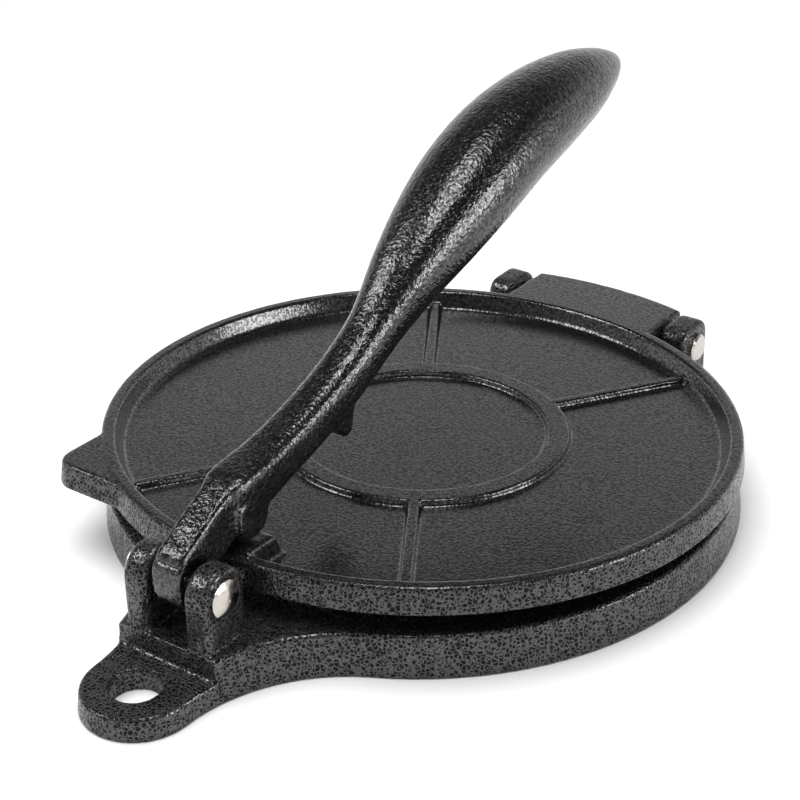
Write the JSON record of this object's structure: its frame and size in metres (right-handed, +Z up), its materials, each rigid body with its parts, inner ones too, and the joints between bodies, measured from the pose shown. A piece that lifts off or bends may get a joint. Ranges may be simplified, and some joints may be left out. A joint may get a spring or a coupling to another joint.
{
  "type": "tortilla press",
  "caption": "Hinged cast plate press for flatbread dough, with a ribbed round lid and a cranked cam lever pinned in a front clevis.",
  "frame": {"origin": "middle of the round base plate, on the surface that it stands on", "axes": "+Z up, +Y to the lid's hinge, -Y to the lever's clevis and the hanging tongue, +X to the pins' heads"},
  "size_m": [0.2036, 0.276, 0.1227],
  "materials": {
    "base_paint": "hammertone grey-black enamel over cast iron",
    "lid_paint": "hammertone grey-black enamel over cast iron",
    "lever_paint": "hammertone grey-black enamel over cast iron",
    "pin_steel": "bright plated steel",
    "clip_steel": "plain spring steel"
  },
  "bodies": {
    "base": {"base": "base_paint", "lever_pin": "pin_steel", "lever_clip": "clip_steel", "hinge_pin": "pin_steel", "hinge_clip": "clip_steel"},
    "lid": {"lid": "lid_paint"},
    "lever": {"lever": "lever_paint"}
  },
  "joints": [
    {"name": "lever_pivot", "type": "hinge", "parent": "base", "child": "lever", "pos_m": [0, -0.1154, 0.0295], "axis": [1, 0, 0], "range_deg": [-18, 156]},
    {"name": "lid_hinge", "type": "hinge", "parent": "base", "child": "lid", "pos_m": [0, 0.11, 0.0156], "axis": [-1, 0, 0], "range_deg": [-2.1, 18.2]}
  ],
  "couplings": [
    {"joint": "lid_hinge", "follows": "lever_pivot", "ratio": 0.1166}
  ]
}
